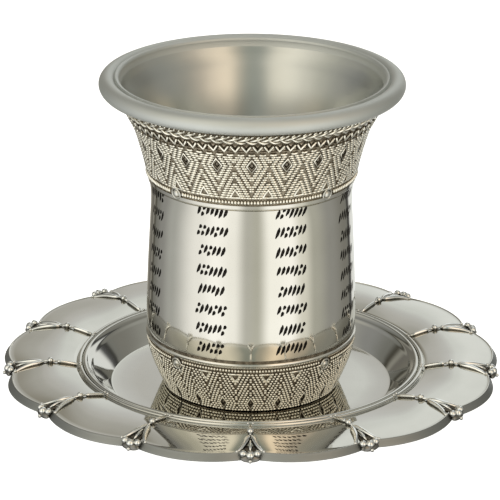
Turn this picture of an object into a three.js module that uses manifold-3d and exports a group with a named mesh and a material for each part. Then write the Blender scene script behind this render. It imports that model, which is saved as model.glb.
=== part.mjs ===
import * as THREE from 'three';
import { mergeVertices } from 'three/addons/utils/BufferGeometryUtils.js';
import Module from 'manifold-3d';

// A kiddush cup with an inner lining, standing in the well of its matching petal-edged saucer.
// Millimetres, +Z up. The axis of cup and saucer is the Z axis, and the saucer's foot lies on z = 0.
// Azimuth is counted from -Y towards +X. Every piece is turned from a profile and then carved, by
// moving vertices of the turned form, so profiles are lists of (distance from the axis, height).

const wasm = await Module();
wasm.setup();

const FULL_TURN = 2 * Math.PI;
const WELD_DISTANCE = 1e-4;

// ---- Driving dimensions: saucer ----
const PETALS = 13;
const PETAL_REACH = 65.5;
const CUSP_REACH = 62.3;
const SAUCER_FLOOR = 2;
const FLOOR_EDGE = 36.2;
const RING_RADIUS = 43.9;
const RING_HEIGHT = 8.4;
const FLANGE_START = 45;
const FLANGE_HEIGHT = 7.9;
const FLANGE_THICKNESS = 1.5;
const DIVIDER_RISE = 1.2;
const BAR_RISE = 0.6;
const BAR_SHARE = 0.05;
const LIP_WIDTH = 1.3;
const SKIRT_FOOT = 6.1;

// ---- Driving dimensions: the beads and leaves between two petals ----
// Distances are counted outwards from the saucer's axis.
const LEAF = { outwards: 57.9, aside: 1.15, spread: 0.17, halfSize: [1.05, 4.6, 1.1] };
const SIDE_BEAD = { outwards: 63.2, aside: 1.5, height: 7.9, radius: 1.1 };
const FAN = { outwards: 63.6, height: 7.2, halfSize: [2.85, 1.9, 1.5] };

// ---- Driving dimensions: cup ----
const CUP_BASE = SAUCER_FLOOR;
const SHELL_TOP = 80;
const SHELL_WALL = 1.1;
const SHELL_FLOOR = 1.5;
const LINING_GAP = 0.4;
const LINING_WALL = 0.8;
const LIP_RADIUS = 37;
const LIP_HEIGHT = 83.5;
const LIP_ROLL = 2.2;
const INNER_RING = 33.9;
const BAYS = 21;
const COLUMNS_PER_BAY = 4;
const LINING_COLUMNS = 32;

// Outside of the cup: (height, radius) where its slope changes, joined by a smooth curve.
const OUTLINE = [
  [2, 22.4], [6, 24.1], [10.5, 25.85], [15, 26.9], [22.5, 27.25], [34, 26.9],
  [46, 26.3], [54.5, 26], [60, 26.75], [67, 28.4], [74, 30.65], [80, 33.9],
];

// ---- Driving dimensions: carved bands ----
// Each band holds a zigzag of raised ribs with a lozenge in each bay, worked out on a grid of four
// columns to a bay and equal steps in height.
const BAND_STEP = 4;
const UPPER_BAND = { edge: 58.3, zigzag: 61.4, head: 73.4, groove: 76 };
const LOWER_BAND = { zigzag: 14.2, ridge: 16.4 };
const BAND_STEPS = [0, 1, 2];
const BAND_PROUD = 0.25;
const RIB_RISE = 0.4;
const GROOVE_DEPTH = 0.35;
const RIDGE_RISE = 0.35;
const STUD_RADIUS = 1.4;
const STUD_RISE = 0.5;
const STUD_SIDES = 6;
const STUD_AZIMUTHS = [0.125, 0.375, 0.625, 0.875].map((share) => share * FULL_TURN);
const STUD_HEIGHTS = [14, 60];

// Heights at which the inner faces of shell and lining follow the outline, from the top down.
const WALL_HEIGHTS = [70, 57, 22];
const WALL_FOOT = 7;

const STEEL = { satin: 0xb4b6ab, bright: 0xb5b3a6 };

const PETAL = FULL_TURN / PETALS;
const PETAL_COLUMNS = [0, BAR_SHARE, 0.3, 0.5, 0.7, 1 - BAR_SHARE];

// ---- Solids from profiles ----

function profilePoint([radius, height]) {
  return new THREE.Vector2(radius, height);
}

function evenly(columns) {
  return Array.from({ length: columns }, (_, column) => (column / columns) * FULL_TURN);
}

// Turns a profile about the Z axis, with a column of vertices at each azimuth. `carve` may change
// the radius and height of a vertex, and `risesRight` says which diagonal splits a four-sided face,
// so that ribs follow an edge.
function turn(profile, azimuths, carve = () => {}, risesRight = () => false) {
  const geometry = new THREE.LatheGeometry(profile.map(profilePoint), azimuths.length);
  const position = geometry.attributes.position;
  for (let vertex = 0; vertex < position.count; vertex += 1) {
    const row = vertex % profile.length;
    const column = Math.floor(vertex / profile.length) % azimuths.length;
    const azimuth = azimuths[column];
    const point = profilePoint(profile[row]);
    carve(point, { azimuth, column, row });
    position.setXYZ(vertex, point.x * Math.sin(azimuth), -point.x * Math.cos(azimuth), point.y);
  }
  turnDiagonals(geometry.index, profile.length - 1, risesRight);
  return closedSkin(geometry);
}

function turnDiagonals(index, facesPerColumn, risesRight) {
  for (let face = 0; face < index.count / 6; face += 1) {
    const column = Math.floor(face / facesPerColumn);
    const row = face % facesPerColumn;
    if (risesRight({ row, column })) {
      const [a, b, d, c] = [0, 1, 2, 3].map((corner) => index.getX(face * 6 + corner));
      [a, b, c, a, c, d].forEach((vertex, corner) => index.setX(face * 6 + corner, vertex));
    }
  }
}

// Welds the seam and the points on the axis, and leaves out the faces that vanish there.
function closedSkin(geometry) {
  geometry.deleteAttribute('normal');
  geometry.deleteAttribute('uv');
  const welded = mergeVertices(geometry, WELD_DISTANCE);
  const corners = Array.from(welded.index.array);
  const kept = [];
  for (let first = 0; first < corners.length; first += 3) {
    const [a, b, c] = corners.slice(first, first + 3);
    if (a !== b && b !== c && c !== a) {
      kept.push(a, b, c);
    }
  }
  welded.setIndex(kept);
  return welded;
}

function toManifold(geometry) {
  return new wasm.Manifold(new wasm.Mesh({
    numProp: 3,
    vertProperties: new Float32Array(geometry.attributes.position.array),
    triVerts: new Uint32Array(geometry.index.array),
  }));
}

function fuse(main, additions) {
  const joined = additions.reduce((sum, piece) => sum.add(toManifold(piece)), toManifold(main));
  const mesh = joined.getMesh();
  const geometry = new THREE.BufferGeometry();
  geometry.setAttribute('position', new THREE.BufferAttribute(mesh.vertProperties, mesh.numProp));
  geometry.setIndex(new THREE.BufferAttribute(mesh.triVerts, 1));
  return geometry;
}

// ---- Cup outline ----

function outlineSlope(knot) {
  const before = OUTLINE[Math.max(knot - 1, 0)];
  const after = OUTLINE[Math.min(knot + 1, OUTLINE.length - 1)];
  return (after[1] - before[1]) / (after[0] - before[0]);
}

function outlineRadius(height) {
  const last = OUTLINE.length - 2;
  const found = OUTLINE.findIndex(([top]) => top > height) - 1;
  const knot = found < 0 ? last : found;
  const [[z0, r0], [z1, r1]] = [OUTLINE[knot], OUTLINE[knot + 1]];
  const span = z1 - z0;
  const t = (height - z0) / span;
  const bend = t * (1 - t) * span;
  const straight = r0 + (r1 - r0) * t * t * (3 - 2 * t);
  return straight + bend * ((1 - t) * outlineSlope(knot) - t * outlineSlope(knot + 1));
}

function alongOutline(heights, inset = 0) {
  return heights.map((height) => [outlineRadius(height) - inset, height]);
}

// ---- Cup shell ----

// Columns from the middle of the nearest bay: 0 on the lozenge, 2 on the peak between two bays.
function columnsFromBay(column) {
  const across = column % COLUMNS_PER_BAY;
  return Math.min(across, COLUMNS_PER_BAY - across);
}

function ribRise(step, column) {
  const across = columnsFromBay(column);
  const onZigzag = step === across;
  const onLozenge = step === COLUMNS_PER_BAY / 2 && across === 0;
  return onZigzag || onLozenge ? RIB_RISE : 0;
}

// Heights of the outside from the base up, with how far each stands out of the plain outline.
function shellRows() {
  const lowerZigzag = BAND_STEPS.map((step) => LOWER_BAND.zigzag - step * BAND_STEP).reverse();
  const upperZigzag = BAND_STEPS.map((step) => UPPER_BAND.zigzag + step * BAND_STEP);
  const { edge, head, groove, zigzag } = UPPER_BAND;
  return [
    { height: CUP_BASE, proud: 0 },
    ...lowerZigzag.map((height) => ({ height, proud: 0, zigzagFrom: LOWER_BAND.zigzag })),
    { height: LOWER_BAND.ridge, proud: RIDGE_RISE },
    { height: LOWER_BAND.ridge + 0.7, proud: 0 },
    { height: 27, proud: 0 },
    { height: 54.5, proud: 0 },
    { height: edge - 0.2, proud: 0 },
    { height: edge + 0.2, proud: BAND_PROUD },
    ...upperZigzag.map((height) => ({ height, proud: BAND_PROUD, zigzagFrom: zigzag })),
    { height: head, proud: BAND_PROUD },
    { height: groove, proud: BAND_PROUD - GROOVE_DEPTH },
    { height: SHELL_TOP, proud: 0 },
  ];
}

function cupShell() {
  const rows = shellRows();
  const outside = rows.map(({ height, proud }) => [outlineRadius(height) + proud, height]);
  const insideFloor = CUP_BASE + SHELL_FLOOR;
  const inside = alongOutline([SHELL_TOP, ...WALL_HEIGHTS, WALL_FOOT], SHELL_WALL);
  const corner = outlineRadius(insideFloor) - 2 * SHELL_WALL;
  const profile = [[0, CUP_BASE], ...outside, ...inside, [corner, insideFloor], [0, insideFloor]];
  const rowOf = (row) => rows[row - 1] ?? {};
  const carve = (point, { row, column }) => {
    const { height, zigzagFrom } = rowOf(row);
    if (zigzagFrom !== undefined) {
      const step = Math.round(Math.abs(height - zigzagFrom) / BAND_STEP);
      point.x += ribRise(step, column);
    }
  };
  const risesRight = ({ row, column }) => {
    const { height = 0 } = rowOf(row);
    const leavingBay = column % COLUMNS_PER_BAY < COLUMNS_PER_BAY / 2;
    return leavingBay === height > UPPER_BAND.edge;
  };
  const sleeve = turn(profile, evenly(BAYS * COLUMNS_PER_BAY), carve, risesRight);
  const ringOfStuds = (height) => STUD_AZIMUTHS.map((azimuth) => stud(height, azimuth));
  const studs = STUD_HEIGHTS.flatMap(ringOfStuds);
  return fuse(sleeve, studs);
}

// A plain round stud, sunk in the wall as far as it stands out of it.
function stud(height, azimuth) {
  const disc = new THREE.CylinderGeometry(STUD_RADIUS, STUD_RADIUS, 2 * STUD_RISE, STUD_SIDES);
  disc.translate(0, outlineRadius(height) + STUD_RISE / 2, 0);
  disc.rotateZ(azimuth + Math.PI);
  disc.translate(0, 0, height);
  return closedSkin(disc);
}

// ---- Cup lining ----

function rolledLip() {
  const [first, last, steps] = [-0.61 * Math.PI, 0.8 * Math.PI, 5];
  const points = [];
  for (let step = 0; step <= steps; step += 1) {
    const angle = first + ((last - first) * step) / steps;
    const radius = LIP_RADIUS + LIP_ROLL * Math.cos(angle);
    points.push([radius, LIP_HEIGHT + LIP_ROLL * Math.sin(angle)]);
  }
  return points;
}

function cupLining() {
  const underside = CUP_BASE + SHELL_FLOOR;
  const floor = underside + LINING_WALL;
  const outset = SHELL_WALL + LINING_GAP;
  const inset = outset + LINING_WALL;
  const shoulder = SHELL_TOP - 0.6;
  const outside = alongOutline([shoulder, ...WALL_HEIGHTS, WALL_FOOT], outset).reverse();
  const inside = alongOutline([shoulder, ...WALL_HEIGHTS, WALL_FOOT + 1], inset);
  const throat = outlineRadius(shoulder);
  const profile = [
    [0, underside],
    [outlineRadius(underside) - 4, underside],
    ...outside,
    [throat - 0.6, SHELL_TOP + 0.6],
    ...rolledLip(),
    [INNER_RING + 0.6, LIP_HEIGHT + LIP_ROLL - 0.1],
    [INNER_RING, LIP_HEIGHT + 0.6],
    [throat - 1, SHELL_TOP + 1.1],
    ...inside,
    [outlineRadius(floor) - 5, floor],
    [0, floor],
  ];
  return turn(profile, evenly(LINING_COLUMNS));
}

// ---- Saucer ----

// The edge of a petal is an arc through its two cusps and its outermost point.
function petalEdge(azimuth) {
  const offset = (azimuth % PETAL) - PETAL / 2;
  const halfWidth = CUSP_REACH * Math.sin(PETAL / 2);
  const rise = PETAL_REACH - CUSP_REACH * Math.cos(PETAL / 2);
  const arc = (halfWidth ** 2 + rise ** 2) / (2 * rise);
  const centre = PETAL_REACH - arc;
  return centre * Math.cos(offset) + Math.sqrt(arc ** 2 - (centre * Math.sin(offset)) ** 2);
}

// Draws the round flange out to the petal edge, arches it up towards the dividers, and raises a
// narrow bar along each of them.
function carvePetals(point, { azimuth, column }) {
  const beyond = point.x - FLANGE_START;
  if (beyond <= 0) {
    return;
  }
  const share = beyond / (PETAL_REACH - FLANGE_START);
  const towardsDivider = Math.cos((azimuth * PETALS) / 2) ** 2;
  const onBar = column % PETAL_COLUMNS.length === 0 && point.y >= FLANGE_HEIGHT;
  point.x = FLANGE_START + share * (petalEdge(azimuth) - FLANGE_START);
  point.y += DIVIDER_RISE * Math.sin(Math.PI * share) * towardsDivider + (onBar ? BAR_RISE : 0);
}

function flange(shares, height) {
  const width = PETAL_REACH - LIP_WIDTH - FLANGE_START;
  return shares.map((share) => [FLANGE_START + share * width, height]);
}

function saucer() {
  const flangeUnderside = FLANGE_HEIGHT - FLANGE_THICKNESS;
  const profile = [
    [0, 0],
    [FLOOR_EDGE + 0.4, 0],
    [FLOOR_EDGE + 3.4, 0.9],
    [FLOOR_EDGE + 6.2, 4],
    ...flange([0, 0.97], flangeUnderside),
    [PETAL_REACH - LIP_WIDTH * 0.8, SKIRT_FOOT],
    [PETAL_REACH, SKIRT_FOOT],
    ...flange([1, 0.67, 0.33, 0], FLANGE_HEIGHT),
    [RING_RADIUS, RING_HEIGHT],
    [RING_RADIUS - 1.2, FLANGE_HEIGHT - 0.4],
    [FLOOR_EDGE + 5, 5],
    [FLOOR_EDGE + 2.6, SAUCER_FLOOR + 0.7],
    [FLOOR_EDGE, SAUCER_FLOOR],
    [0, SAUCER_FLOOR],
  ];
  const columns = (start) => PETAL_COLUMNS.map((share) => start + share * PETAL);
  const dish = turn(profile, evenly(PETALS).flatMap(columns), carvePetals);
  return fuse(dish, evenly(PETALS).flatMap(dividerPieces));
}

// On each bar: two spreading leaves, and past the cusp a pointed fan with a bead on each shoulder.
// They are made along +Y, with Y counted from the saucer's axis, and then turned to the azimuth.
function dividerPieces(azimuth) {
  const pieces = [leaf(-1), leaf(1), sideBead(-1), sideBead(1), fan()];
  return pieces.map((piece) => closedSkin(piece.rotateZ(azimuth + Math.PI)));
}

function fan() {
  const { outwards, height, halfSize } = FAN;
  return new THREE.OctahedronGeometry(1, 0).scale(...halfSize).translate(0, outwards, height);
}

function leaf(side) {
  const blade = new THREE.OctahedronGeometry(1, 0);
  blade.scale(...LEAF.halfSize);
  blade.rotateZ(-side * LEAF.spread);
  return blade.translate(side * LEAF.aside, LEAF.outwards, FLANGE_HEIGHT + LEAF.halfSize[2]);
}

function sideBead(side) {
  const { radius, aside, outwards, height } = SIDE_BEAD;
  return new THREE.OctahedronGeometry(radius, 0).translate(side * aside, outwards, height);
}

// ---- The object ----

function piece(name, geometry, color, roughness) {
  const material = new THREE.MeshStandardMaterial({ color, roughness, metalness: 1 });
  const mesh = new THREE.Mesh(geometry, material);
  mesh.name = name;
  return mesh;
}

const cupAndSaucer = new THREE.Group();
cupAndSaucer.add(piece('cup_shell', cupShell(), STEEL.bright, 0.2));
cupAndSaucer.add(piece('cup_liner', cupLining(), STEEL.satin, 0.45));
cupAndSaucer.add(piece('saucer', saucer(), STEEL.bright, 0.25));

export default cupAndSaucer;
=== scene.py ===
# %% [markdown]
# # A kiddush cup on its petal-edged saucer
# The real set is nickel-plated: a cast and polished cup with two beaded bands, a satin steel lining with
# a fat rolled lip, and a saucer spun and chased into thirteen petals. This lesson makes each piece from
# a few sizes. Lengths are written in millimetres, as a silversmith would, and turned into metres once,
# when a mesh is made.

import math

import bmesh
import bpy
import numpy as np
from mathutils import Matrix, Vector


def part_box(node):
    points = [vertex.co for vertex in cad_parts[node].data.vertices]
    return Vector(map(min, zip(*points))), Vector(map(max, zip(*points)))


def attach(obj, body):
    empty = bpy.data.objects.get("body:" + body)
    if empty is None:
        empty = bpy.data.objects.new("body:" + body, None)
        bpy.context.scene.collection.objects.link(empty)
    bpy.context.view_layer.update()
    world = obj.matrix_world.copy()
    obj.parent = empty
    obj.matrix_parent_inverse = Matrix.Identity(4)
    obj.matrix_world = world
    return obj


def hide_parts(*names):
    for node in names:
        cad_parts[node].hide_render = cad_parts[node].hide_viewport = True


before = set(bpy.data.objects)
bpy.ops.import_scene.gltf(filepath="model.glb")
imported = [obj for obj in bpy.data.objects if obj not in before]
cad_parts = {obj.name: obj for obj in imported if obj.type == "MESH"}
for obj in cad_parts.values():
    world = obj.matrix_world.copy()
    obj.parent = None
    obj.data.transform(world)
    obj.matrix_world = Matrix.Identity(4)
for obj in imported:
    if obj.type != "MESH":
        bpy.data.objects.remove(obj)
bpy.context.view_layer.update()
MM = 0.001
BODY = "root"

# %% [markdown]
# ## Sizes
# Whatever the frame already knows is read from it: where the cup stands, how tall the shell is, how wide
# the lip is. The rest are the driving sizes of the forms. Azimuth 0 is the front of the cup, where the
# camera stands, and it grows to the right.

# %% Driving sizes
shell_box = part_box("cup_shell")
lining_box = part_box("cup_liner")
CUP_BASE = shell_box[0].z / MM
SHELL_TOP = shell_box[1].z / MM
LIP_TOP = lining_box[1].z / MM
LIP_REACH = lining_box[1].x / MM
LINING_BASE = lining_box[0].z / MM
PETAL_REACH = 65.3
SHELL_WALL, LINING_GAP, LINING_WALL = 1.1, 0.4, 0.8
LIP_ROLL = 2.2
INNER_RING = 33.9
BAYS, PETALS, STUDS = 21, 13, 4
SHARP_SHELL, SHARP_LINING, SHARP_SAUCER = 32, 40, 33
OUTLINE = np.array([
    (2, 22.4), (6, 24.1), (10.5, 25.85), (15, 26.9), (22.5, 27.25), (34, 26.9),
    (46, 26.3), (54.5, 26), (60, 26.75), (67, 28.4), (74, 30.65), (80, 33.9),
])
print("cup stands on", round(CUP_BASE, 2), "mm; saucer reaches", PETAL_REACH, "mm from the axis")


# %% [markdown]
# ## The outline of the cup
# Twelve heights and radii say where the outside changes its slope. A cubic between each pair, with
# slopes taken from the neighbours, gives one smooth line. Every ornament on the cup asks this function
# where the wall is and how much it leans.

# %% Outline as a function of height
def outline(height):
    """Radius of the plain cup at a height, both in millimetres."""
    z, r = OUTLINE[:, 0], OUTLINE[:, 1]
    count = len(z)
    knot = int(np.clip(np.searchsorted(z, height, side="right") - 1, 0, count - 2))
    slopes = [
        (r[min(i + 1, count - 1)] - r[max(i - 1, 0)]) / (z[min(i + 1, count - 1)] - z[max(i - 1, 0)])
        for i in (knot, knot + 1)
    ]
    span = z[knot + 1] - z[knot]
    t = (height - z[knot]) / span
    straight = r[knot] + (r[knot + 1] - r[knot]) * t * t * (3 - 2 * t)
    return straight + span * t * (1 - t) * ((1 - t) * slopes[0] - t * slopes[1])


def lean(height):
    """Angle by which the wall leans outwards at a height."""
    step = 0.2
    return math.atan2(outline(height + step) - outline(height - step), 2 * step)


def on_wall(azimuth, height, proud):
    """Point on the cup's wall, in millimetres, moved out along the wall's own normal."""
    tilt = lean(height)
    radius = outline(height) + proud * math.cos(tilt)
    return Vector((
        radius * math.sin(azimuth), -radius * math.cos(azimuth), height - proud * math.sin(tilt)
    ))


def wall_normal(azimuth, height):
    tilt = lean(height)
    flat = math.cos(tilt)
    return Vector((flat * math.sin(azimuth), -flat * math.cos(azimuth), -math.sin(tilt)))


WAIST, NECK = 54.5, 78.0
print("waist radius", round(outline(WAIST), 2), "mm; lean at the neck", round(lean(NECK), 2), "radians")


# %% [markdown]
# ## Turned skins
# Shell, lining and saucer start as turned forms. Blender has a Screw modifier and a Spin tool for this,
# but both leave a seam and a pole to merge. Writing the rings straight into a mesh gives closed seams
# and faces that already point outwards, so that is what `turned` does.

# %% Helpers: arcs in a profile, turned skins, and pieces of the part
def arc(centre, radius, first, last, steps):
    """Points of a round stretch of a profile, with its angles in degrees."""
    angles = np.radians(np.linspace(first, last, steps + 1))
    return [(centre[0] + radius * math.cos(a), centre[1] + radius * math.sin(a)) for a in angles]


def capped_faces(rings, columns):
    """Faces that join a first point, rings of points, and a last point into a closed skin."""
    top = 1 + rings * columns
    last = top - columns
    faces = []
    for column in range(columns):
        after = (column + 1) % columns
        faces.append((0, 1 + after, 1 + column))
        for low in range(1, last, columns):
            high = low + columns
            faces.append((low + column, low + after, high + after, high + column))
        faces.append((last + column, last + after, top))
    return faces


def turned(name, profile, columns):
    """Closed skin from (radius, height) points that start and end on the axis."""
    azimuths = np.linspace(0, 2 * math.pi, columns, endpoint=False)
    points = [(0, 0, profile[0][1])]
    for radius, height in profile[1:-1]:
        points += [(radius * math.sin(a), -radius * math.cos(a), height) for a in azimuths]
    points.append((0, 0, profile[-1][1]))
    mesh = bpy.data.meshes.new(name)
    mesh.from_pydata([Vector(p) * MM for p in points], [], capped_faces(len(profile) - 2, columns))
    mesh.shade_smooth()
    return mesh


def show(data, name):
    piece = bpy.data.objects.new(name, data)
    bpy.context.scene.collection.objects.link(piece)
    return piece


def settle(piece, slot, *nodes):
    """Lets a finished piece ride on the part, in place of these frame nodes. The slot is not used."""
    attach(piece, BODY)
    if nodes:
        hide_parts(*nodes)
    print(f"{piece.name}: {sum(len(p.vertices) - 2 for p in piece.data.polygons)} triangles")


# %% [markdown]
# ## Materials
# Plated metal is never one flat value. Each finish below varies its colour a little from place to place,
# and most vary their roughness where fingers and cloth have been. All but the relief metal carry a very
# low bump. The patterns read Object coordinates or an attribute stored on the mesh, so they stay on the
# metal in every view.

# %% Helpers for shader trees
def shader_for(name):
    """New material with its node tree and its Principled shader, set to bare metal."""
    material = bpy.data.materials.new(name)
    material.use_nodes = True
    tree = material.node_tree
    shader = tree.nodes["Principled BSDF"]
    shader.inputs["Metallic"].default_value = 1.0
    return material, tree, shader


def add(tree, kind, values=None, **settings):
    """Adds a node, sets its properties, and fills its inputs with values or links."""
    node = tree.nodes.new(kind)
    for key, value in settings.items():
        setattr(node, key, value)
    for key, value in (values or {}).items():
        if isinstance(value, bpy.types.NodeSocket):
            tree.links.new(value, node.inputs[key])
        else:
            node.inputs[key].default_value = value
    return node


def noise(tree, coordinates, scale, detail=3.0, roughness=0.55):
    values = {"Vector": coordinates, "Scale": scale, "Detail": detail, "Roughness": roughness}
    return add(tree, "ShaderNodeTexNoise", values).outputs["Fac"]


def paint(tree, shader, factor, low, high, start=0.0, end=1.0):
    """Gives a shader a colour between two, from a ramp over part of a factor's range."""
    ramp = add(tree, "ShaderNodeValToRGB", {"Fac": factor})
    for element, position, colour in zip(ramp.color_ramp.elements, (start, end), (low, high)):
        element.position = position
        element.color = (*colour, 1)
    tree.links.new(ramp.outputs["Color"], shader.inputs["Base Color"])


def spread_value(tree, factor, low, high):
    values = {"Value": factor, "To Min": low, "To Max": high}
    return add(tree, "ShaderNodeMapRange", values).outputs["Result"]


def roughen(tree, shader, factor, low, high):
    tree.links.new(spread_value(tree, factor, low, high), shader.inputs["Roughness"])


def object_coordinates(tree, stretch=(1, 1, 1)):
    coordinates = add(tree, "ShaderNodeTexCoord").outputs["Object"]
    return add(tree, "ShaderNodeMapping", {"Vector": coordinates, "Scale": stretch}).outputs["Vector"]


def bump(tree, shader, height, strength, distance):
    values = {"Height": height, "Strength": strength, "Distance": distance}
    tree.links.new(add(tree, "ShaderNodeBump", values).outputs["Normal"], shader.inputs["Normal"])


# %% Nickel, with cloth marks and a faint cloudiness
def polished_nickel(name, dark, light, roughness, cloth_mark):
    material, tree, shader = shader_for(name)
    cloud = noise(tree, object_coordinates(tree), scale=60.0)
    paint(tree, shader, cloud, dark, light, 0.3, 0.7)
    along_the_wipes = object_coordinates(tree, stretch=(1, 1, 0.12))
    wipe = noise(tree, along_the_wipes, scale=900.0, detail=4.0, roughness=0.7)
    roughen(tree, shader, wipe, *roughness)
    bump(tree, shader, wipe, cloth_mark, 0.04 * MM)
    return material


body_nickel = polished_nickel("polished_nickel", (0.66, 0.64, 0.58), (0.72, 0.70, 0.64), (0.04, 0.09), 0.04)
saucer_nickel = polished_nickel("saucer_nickel", (0.64, 0.635, 0.59), (0.70, 0.695, 0.65), (0.03, 0.07), 0.03)
# The skirt's nickel is satin and much darker: painted shade, for the shadowed surroundings it reflects.
shaded_skirt_nickel = polished_nickel("shaded_skirt_nickel", (0.28, 0.29, 0.28), (0.34, 0.35, 0.34), (0.46, 0.55), 0.03)
print("made", body_nickel.name, saucer_nickel.name, shaded_skirt_nickel.name)


# %% Satin steel, turned on a lathe so that its fine lines run round the cup
def satin_steel(name, dark, light, roughness, along_lines):
    material, tree, shader = shader_for(name)
    split = add(tree, "ShaderNodeSeparateXYZ", {"Vector": object_coordinates(tree)})
    flat = add(tree, "ShaderNodeCombineXYZ", {"X": split.outputs["X"], "Y": split.outputs["Y"]})
    reach = add(tree, "ShaderNodeVectorMath", {0: flat.outputs["Vector"]}, operation="LENGTH")
    rings = add(tree, "ShaderNodeCombineXYZ", {"X": reach.outputs["Value"], "Z": split.outputs["Z"]})
    lines = noise(tree, rings.outputs["Vector"], scale=2500.0, detail=2.0)
    cloud = noise(tree, object_coordinates(tree), scale=45.0)
    paint(tree, shader, cloud, dark, light, 0.3, 0.7)
    roughen(tree, shader, lines, *roughness)
    round_the_axis = add(tree, "ShaderNodeTangent", direction_type="RADIAL", axis="Z")
    tree.links.new(round_the_axis.outputs["Tangent"], shader.inputs["Tangent"])
    shader.inputs["Anisotropic"].default_value = along_lines
    shader.inputs["Anisotropic Rotation"].default_value = 0.25
    bump(tree, shader, lines, 0.02, 0.03 * MM)
    return material


lining_steel = satin_steel("satin_steel", (0.55, 0.56, 0.53), (0.60, 0.61, 0.58), (0.26, 0.32), 0.7)
# The lip's steel is rougher, like the real matt roll, and lighter: painted light on the upturned roll.
lit_lip_steel = satin_steel("matt_lit_steel", (0.63, 0.65, 0.63), (0.68, 0.70, 0.68), (0.55, 0.62), 0.1)
print("made", lining_steel.name, lit_lip_steel.name)


# %% Relief metal: bright where it stands proud, brown at its foot, partly old oxide where cloth never reaches and partly painted shade
def relief_metal(name, oxide, bright, start, end, roughness=(0.4, 0.14)):
    """Metal whose colour and roughness follow how far each point stands proud, with worn patches. Its dark
    foot is oxide and painted shade, and its light crown is painted light.
    """
    material, tree, shader = shader_for(name)
    proud = add(tree, "ShaderNodeAttribute", attribute_name="proud").outputs["Fac"]
    patch = noise(tree, object_coordinates(tree), scale=500.0)
    # Dark end of the ramp: oxide and painted shade at the foot. Light end: painted light on the crown.
    worn = add(tree, "ShaderNodeMath", {0: proud, 1: spread_value(tree, patch, -0.12, 0.12)})
    paint(tree, shader, worn.outputs["Value"], oxide, bright, start, end)
    roughen(tree, shader, worn.outputs["Value"], *roughness)
    return material


def oxidised(name, dark, light):
    """The blackened ground of engraving and of the hollows between ornaments. Between the leaves and at the
    foot of the cup it also carries painted shade.
    """
    material, tree, shader = shader_for(name)
    patch = noise(tree, object_coordinates(tree), scale=700.0, detail=5.0)
    paint(tree, shader, patch, dark, light, 0.35, 0.7)
    shader.inputs["Roughness"].default_value = 0.5
    bump(tree, shader, patch, 0.3, 0.05 * MM)
    return material


bead_metal = relief_metal("bead_metal", (0.34, 0.30, 0.235), (0.98, 0.95, 0.85), 0.0, 0.45)
cast_metal = relief_metal("cast_metal", (0.20, 0.195, 0.18), (0.86, 0.87, 0.85), 0.0, 0.15, (0.20, 0.05))
facet_metal = relief_metal("facet_metal", (0.16, 0.13, 0.095), (0.44, 0.38, 0.29), 0.0, 1.0)
# The foot's beads are darker than the upper ones: painted shade near the saucer.
shaded_foot_bead_metal = relief_metal("shaded_foot_bead_metal", (0.25, 0.215, 0.165), (0.95, 0.915, 0.81), 0.0, 0.5)
stud_metal = relief_metal("stud_metal", (0.20, 0.19, 0.17), (0.68, 0.67, 0.62), 0.0, 0.5, (0.34, 0.22))
braid_metal = relief_metal("braid_metal", (0.13, 0.11, 0.08), (0.98, 0.95, 0.85), 0.05, 0.75)
band_ground = oxidised("band_ground", (0.20, 0.172, 0.13), (0.50, 0.445, 0.35))
# The foot's ground is darker than the band's ground above: painted shade near the saucer.
shaded_foot_ground = oxidised("shaded_foot_ground", (0.12, 0.10, 0.075), (0.38, 0.33, 0.26))
engraving = oxidised("engraving_oxide", (0.012, 0.011, 0.01), (0.035, 0.03, 0.026))
# The hollows' colour is oxide and painted shade of the crease between leaf and bud.
hollow_oxide_and_shade = oxidised("hollow_oxide_and_shade", (0.05, 0.044, 0.036), (0.20, 0.18, 0.145))
print("all materials:", [made.name for made in bpy.data.materials if made.use_nodes])


# %% [markdown]
# ## Geometry node trees
# Most of what you see on this set repeats: thousands of beads, rings of the same motif, wires that wave
# round the neck, thirteen petals. Each of these rules is one geometry node tree. A tree is built here,
# its sizes are named inputs, and `grown` runs it for one piece and keeps the result as a plain mesh.

# %% Helpers for geometry node trees
def start_tree(name, inputs):
    """New geometry tree for one material, with named inputs given as {socket kind: labels}."""
    tree = bpy.data.node_groups.new(name, "GeometryNodeTree")
    for kind, labels in {"Geometry": ("Geometry",), **inputs, "Material": ("Material",)}.items():
        for label in labels:
            tree.interface.new_socket(label, in_out="INPUT", socket_type="NodeSocket" + kind)
    tree.interface.new_socket("Geometry", in_out="OUTPUT", socket_type="NodeSocketGeometry")
    return tree, tree.nodes.new("NodeGroupInput").outputs


def close_tree(tree, geometry, material):
    """Realises every instance, gives the faces their material and ends the tree."""
    real = add(tree, "GeometryNodeRealizeInstances", {"Geometry": geometry}).outputs["Geometry"]
    painted = add(tree, "GeometryNodeSetMaterial", {"Geometry": real, "Material": material})
    output = tree.nodes.new("NodeGroupOutput")
    tree.links.new(painted.outputs["Geometry"], output.inputs["Geometry"])
    return tree


def calculator(tree):
    """Function that adds one Math node to a tree at each call; its values are sockets or numbers."""
    def maths(operation, *values):
        return add(tree, "ShaderNodeMath", dict(enumerate(values)), operation=operation).outputs["Value"]
    return maths


def mark_proud(tree, geometry, value):
    """Stores on every point how far it stands proud."""
    return add(tree, "GeometryNodeStoreNamedAttribute", {
        "Geometry": geometry, "Name": "proud", "Value": value,
    }, data_type="FLOAT", domain="POINT").outputs["Geometry"]


def smoothed(tree, geometry):
    return add(tree, "GeometryNodeSetShadeSmooth", {"Geometry": geometry}).outputs["Geometry"]


def moved_to(tree, geometry, x, y, z):
    """Moves every point of a geometry to a place made of three numbers."""
    place = add(tree, "ShaderNodeCombineXYZ", {"X": x, "Y": y, "Z": z}).outputs["Vector"]
    moved = add(tree, "GeometryNodeSetPosition", {"Geometry": geometry, "Position": place})
    return moved.outputs["Geometry"]


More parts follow.
